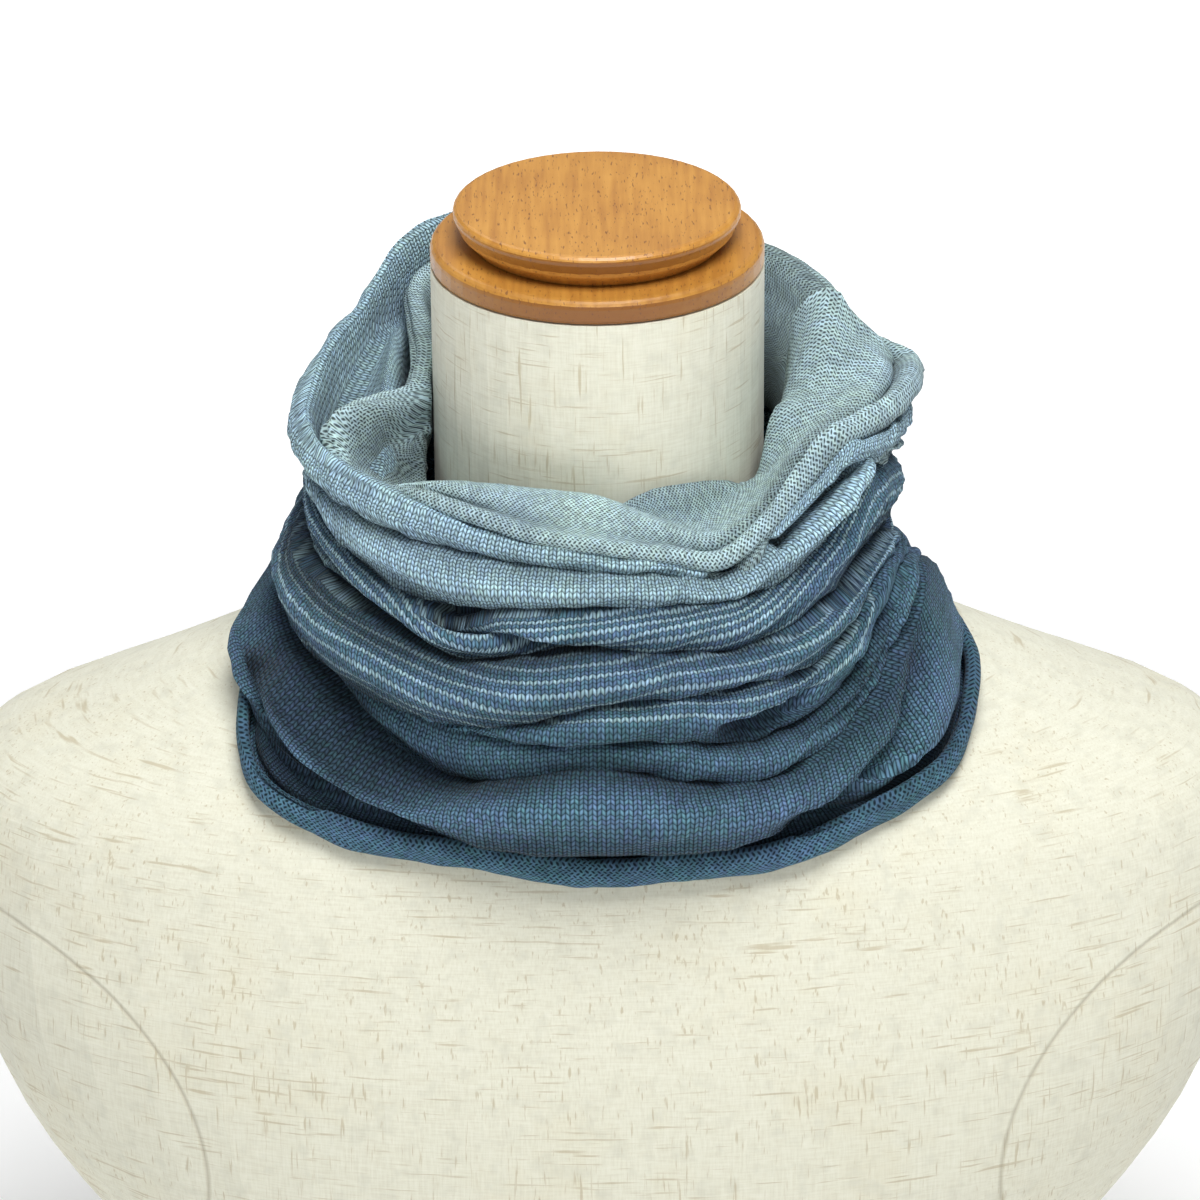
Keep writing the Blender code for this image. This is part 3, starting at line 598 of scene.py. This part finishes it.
class Finish:
    """A material under way, with its Principled shader."""

    def __init__(self, name, roughness, **fixed):
        self.material = bpy.data.materials.new(name)
        self.material.use_nodes = True
        self.tree = self.material.node_tree
        self.shader = self.tree.nodes["Principled BSDF"]
        self.shader.inputs["Roughness"].default_value = roughness
        for socket, value in fixed.items():
            self.shader.inputs[socket.replace("_", " ")].default_value = value

    def node(self, kind, inputs, output=0, **settings):
        """Any node: its settings first, then the values or wires of its sockets."""
        made = self.tree.nodes.new("ShaderNode" + kind)
        for name, value in settings.items():
            setattr(made, name, value)
        for name, value in inputs.items():
            if isinstance(value, Wire):
                self.tree.links.new(value.socket, made.inputs[name])
            else:
                made.inputs[name].default_value = value
        return Wire(made.outputs[output])

    def place(self):
        """The place on the object, in metres."""
        return self.node("TexCoord", {}, 3)

    def part(self, wire, axis):
        """One of the three parts of a place, a UV or a colour."""
        return self.node("SeparateXYZ", {0: wire}, axis)

    def noise(self, scale, detail, **sockets):
        """Soft noise at one scale, or at a scale of its own along each axis."""
        place = self.place()
        if isinstance(scale, tuple):
            place = self.node("Mapping", {0: place, 3: scale})
            scale = 1.0
        return self.node("TexNoise", {"Vector": place, "Scale": scale, "Detail": detail,
                                      **sockets})

    def ramp(self, wire, *stops):
        """Runs through three colours, each given as (place, colour)."""
        made = self.node("ValToRGB", {"Fac": wire})
        elements = made.socket.node.color_ramp.elements
        elements.new(0.5)
        for element, (place, color) in zip(elements, stops):
            element.position, element.color = place, (*color, 1)
        return made

    def mix(self, share, first, second):
        """Between two colours."""
        first, second = [c if isinstance(c, Wire) else (*c, 1.0) for c in (first, second)]
        return self.node("Mix", {0: share, 6: first, 7: second}, 2, data_type="RGBA")

    def feed(self, socket, wire):
        self.tree.links.new(wire.socket, self.shader.inputs[socket])

    def bump(self, height, distance, strength):
        self.feed("Normal", self.node("Bump", {"Height": height, "Distance": distance,
                                               "Strength": strength}))


# Two hues of each yarn, on the knit side and on the purl side.
LIGHT_YARN = {"knit": ((0.35, 0.515, 0.53), (0.31, 0.465, 0.61)),
              "purl": ((0.365, 0.50, 0.48), (0.325, 0.45, 0.525))}
DENIM_YARN = {"knit": ((0.072, 0.170, 0.205), (0.090, 0.150, 0.265)),
              "purl": ((0.064, 0.165, 0.200), (0.078, 0.148, 0.255))}
# Knitted rows: the first with stripes, with stripes closer together, and all light.
STRIPES_START, STRIPES_CLOSE, LIGHT_START = 66, 92, 110


def knit_threads(wale, course):
    """Two slanted legs in each wale make a V. Returns the thread's height and its row."""
    off_middle = abs(wale.math("FRACT") - 0.5)
    slanted = course - off_middle * 1.15
    leg = (1.0 - ((off_middle - 0.26) * 4.1) ** 2.0).math("MAXIMUM", 0.0)
    run = slanted.math("FRACT")
    length = (run * (1.0 - run) * 4.0) ** 0.75
    return leg ** 0.7 * (0.18 + length * 0.98), slanted.math("FLOOR")


def purl_threads(wale, course):
    """Slanted half loops with a hole in each, and between the rows the loops of the next."""
    loop, row = wale * 1.5, course * 1.1
    holes = []
    for shift, slant in ((0.0, 0.45), (0.5, -0.45)):
        across = (loop + shift).math("FRACT") - 0.5
        up = (row + shift).math("FRACT") - 0.5
        holes.append(1.0 - (across * across * 8.0 + (up + across * slant) ** 2.0 * 22.0))
    hole = holes[0].math("MAXIMUM", holes[1]).math("MAXIMUM", 0.0)
    return 0.92 - hole ** 0.5 * 0.88, course.math("FLOOR")


def jersey(side):
    finish = Finish(f"jersey_{side}_side", 0.9, Sheen_Weight=0.06, Sheen_Roughness=0.5,
                    Specular_IOR_Level=0.15)
    uv = finish.node("UVMap", {}, uv_map="knit")
    wale, course = finish.part(uv, 0), finish.part(uv, 1)
    threads = knit_threads if side == "knit" else purl_threads
    thread, row = threads(wale, course)
    every_2nd = (row * 0.5).math("FRACT") < 0.25
    every_3rd = (row / 3.0).math("FRACT") < 0.25
    close = row > STRIPES_CLOSE
    stripe = (every_3rd * (row > STRIPES_START) * (1.0 - close) + every_2nd * close * 1.25) * 0.6
    light_share = stripe.math("MAXIMUM", row > LIGHT_START)
    # Each stitch has a tone and a hue of its own, and both drift from place to place too.
    stitch = finish.node("CombineXYZ", {0: (wale * 2.0).math("FLOOR"), 1: row})
    tone, tint = [finish.node("TexWhiteNoise", {"Vector": stitch}, output, noise_dimensions="2D")
                  for output in (0, 1)]
    hue = (finish.part(tint, 1) * 0.7 + finish.noise(34.0, 2.0) * 1.3 - 0.5).between(0.0, 1.0)
    hollow = finish.node("Attribute", {}, 2, attribute_name="hollow")
    # The yarn's colour is scaled by its tone, by painted shade in the gaps between the threads,
    # and by the painted shade of creases, which is a painted highlight where it is below 0.
    shade = ((0.79 + tone * 0.44) * (0.80 + finish.noise(60.0, 3.0) * 0.40)
             * (0.07 + thread * 1.18) * (1.0 - hollow * 0.68))
    yarn = finish.mix(light_share, finish.mix(hue, *DENIM_YARN[side]),
                      finish.mix(hue, *LIGHT_YARN[side]))
    finish.feed("Base Color", finish.node("VectorMath", {0: yarn, "Scale": shade}, 0,
                                          operation="SCALE"))
    finish.bump(thread, 0.0007, 0.7)
    return finish.material


mesh.materials.append(jersey("knit"))
mesh.materials.append(jersey("purl"))
wall = cloth.modifiers.new("wall", "SOLIDIFY")
wall.thickness = CLOTH
wall.offset = -1
wall.use_even_offset = False
wall.material_offset = 1
wall.material_offset_rim = 1
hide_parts("neck_warmer")
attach(cloth, "root")


# --- dress form: linen cover ------------------------------------------------------------------
# A limbless body covered in natural linen, undyed, with slubs of darker flax in both
# directions. A seam runs round each closed armhole.
ARMHOLE_X, ARMHOLE_Z, ARMHOLE_RADIUS = 0.213, 0.150, 0.082     # in metres


def linen():
    finish = Finish("linen", 0.92, Sheen_Weight=0.15, Sheen_Roughness=0.5)
    threads = (finish.noise((130, 130, 1500), 3.0) + finish.noise((1500, 1500, 130), 3.0)) * 0.5
    tone = finish.ramp(threads, (0.36, (0.71, 0.69, 0.555)), (0.52, (0.765, 0.755, 0.62)),
                       (0.66, (0.80, 0.79, 0.665)))
    # Warm clouds, small grey mottles, and slubs that gather where the clouds are.
    cloud = finish.noise(26.0, 5.0, Roughness=0.65)
    patch = ((cloud - 0.5) * 3.2).between(0.0, 1.0)
    mottle = ((finish.noise(150.0, 3.0) - 0.52) * 5.0).between(0.0, 1.0)
    slubs = finish.noise((48, 48, 950), 2.0).math("MAXIMUM", finish.noise((950, 950, 60), 2.0))
    slub = ((slubs + cloud * 0.22 - 0.735) * 11.0).between(0.0, 1.0)
    color = finish.mix(patch * 0.5, tone, (0.72, 0.67, 0.49))
    color = finish.mix(mottle * 0.4, color, (0.60, 0.59, 0.48))
    color = finish.mix(slub * 0.5, color, (0.44, 0.35, 0.19))
    # The armhole seams: a stitched groove round each closed arm opening.
    x, z = [finish.part(finish.place(), axis) for axis in (0, 2)]
    off_x, off_z = abs(x) - ARMHOLE_X, z - ARMHOLE_Z
    from_hole = (off_x ** 2.0 + off_z ** 2.0).math("SQRT") - ARMHOLE_RADIUS
    groove = (1.0 - abs(from_hole) * 900.0).math("MAXIMUM", 0.0)
    finish.feed("Base Color", finish.mix(groove * 0.45, color, (0.34, 0.29, 0.19)))
    finish.bump(threads * 0.5 - groove * 1.6, 0.0006, 0.35)
    return finish.material


form.data.materials.clear()
form.data.materials.append(linen())


# --- neck cap: two turned beech discs ---------------------------------------------------------
# Steamed beech under a satin lacquer. The short dark flecks lie along the grain, from front to
# back on the faces, and show as fine lines round the sides.
ROUNDED_EDGE = 0.0015                           # of the discs, in metres


def beech(name, side_radius, side_top, shade):
    finish = Finish(name, 0.38, Coat_Roughness=0.25, Coat_Weight=0.12)
    dark = ((0.36 - finish.noise((1500, 260, 900), 1.0)) * 14.0).between(0.0, 1.0)
    line = finish.noise((420, 24, 420), 4.0)
    tones = [(place, [part * shade for part in color]) for place, color in (
        (0.34, (0.40, 0.168, 0.029)), (0.50, (0.51, 0.236, 0.041)), (0.66, (0.595, 0.292, 0.056)))]
    tone = finish.ramp(line * 0.6 + finish.noise(38.0, 2.0) * 0.4, *tones)
    # End grain, round the front and back of the sides, drinks more lacquer and is darker.
    across, along, height = [finish.part(finish.place(), axis) for axis in (0, 1, 2)]
    radius = (across * across + along * along).math("SQRT")
    end_grain = ((abs(along) / radius - 0.2).math("MAXIMUM", 0.0) * 1.2
                 * (radius > side_radius - ROUNDED_EDGE) * (height < side_top - ROUNDED_EDGE))
    tone = finish.mix(end_grain, tone, (0.23, 0.078, 0.005))
    finish.feed("Base Color", finish.mix(dark * 0.75, tone, (0.16, 0.055, 0.016)))
    finish.bump(line - dark * 0.3, 0.0002, 0.25)
    return finish.material


for name, shade in (("cap_base", 0.95), ("cap_top", 1.06)):
    disc = bpy.data.objects[name]
    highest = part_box(name)[1]
    disc.data.materials.clear()
    disc.data.materials.append(beech(f"beech_{name}", highest[0], highest[2], shade))


# --- floor, light and camera ------------------------------------------------------------------
# A white sweep under soft studio light, with the camera a little above, looking down. The sweep
# glows more and more away from the form, so that it turns into plain white.
floor_mesh = bpy.data.meshes.new("floor")
floor_mesh.from_pydata([(-8, -6, 0), (8, -6, 0), (8, 14, 0), (-8, 14, 0)], [], [(0, 1, 2, 3)])
floor = bpy.data.objects.new("floor", floor_mesh)
bpy.context.scene.collection.objects.link(floor)
sweep = Finish("white_sweep", 1.0, Base_Color=(0.95, 0.95, 0.95, 1), Emission_Strength=1.0)
away = sweep.node("VectorMath", {0: sweep.place()}, 1, operation="LENGTH")
glow = ((away - 0.42) * 1.1).between(0.12, 0.85)
sweep.feed("Emission Color", sweep.node("CombineXYZ", {0: glow, 1: glow, 2: glow}))
floor_mesh.materials.append(sweep.material)

world = bpy.data.worlds.new("studio")
world.use_nodes = True
world.node_tree.nodes["Background"].inputs["Color"].default_value = (0.96, 0.98, 1.0, 1)
world.node_tree.nodes["Background"].inputs["Strength"].default_value = 0.2
bpy.context.scene.world = world
LIT = Vector((0, 0, 0.33))
Light = namedtuple("Light", "name place size watts")
for light in (Light("overhead", Vector((0.18, -0.62, 2.05)), 0.9, 35.5),
              Light("front", Vector((-0.15, -2.4, 1.2)), 1.2, 7),
              Light("back", Vector((-0.3, 1.2, 1.9)), 1.2, 6)):
    lamp = bpy.data.lights.new(light.name, "AREA")
    lamp.size = light.size
    lamp.energy = light.watts
    lamp_object = bpy.data.objects.new(light.name, lamp)
    lamp_object.location = light.place
    lamp_object.rotation_euler = (LIT - light.place).to_track_quat("-Z", "Y").to_euler()
    bpy.context.scene.collection.objects.link(lamp_object)

TILT = math.radians(26.0)                       # the camera looks down by this much
LEAN = math.radians(-0.45)                      # and leans to the side by this much
DISTANCE = 2.0
LOOKING_AT = Vector((0, 0, 0.320))
camera = bpy.data.cameras.new("camera")
camera.lens = 180.9
camera.sensor_width = 36.0
camera_object = bpy.data.objects.new("camera", camera)
stand = LOOKING_AT + DISTANCE * Vector((0, -math.cos(TILT), math.sin(TILT)))
camera_object.matrix_world = (Matrix.Translation(stand)
                              @ Matrix.Rotation(math.pi / 2 - TILT, 4, "X")
                              @ Matrix.Rotation(LEAN, 4, "Z"))
bpy.context.scene.collection.objects.link(camera_object)
bpy.context.scene.camera = camera_object
bpy.context.scene.view_settings.view_transform = "Standard"
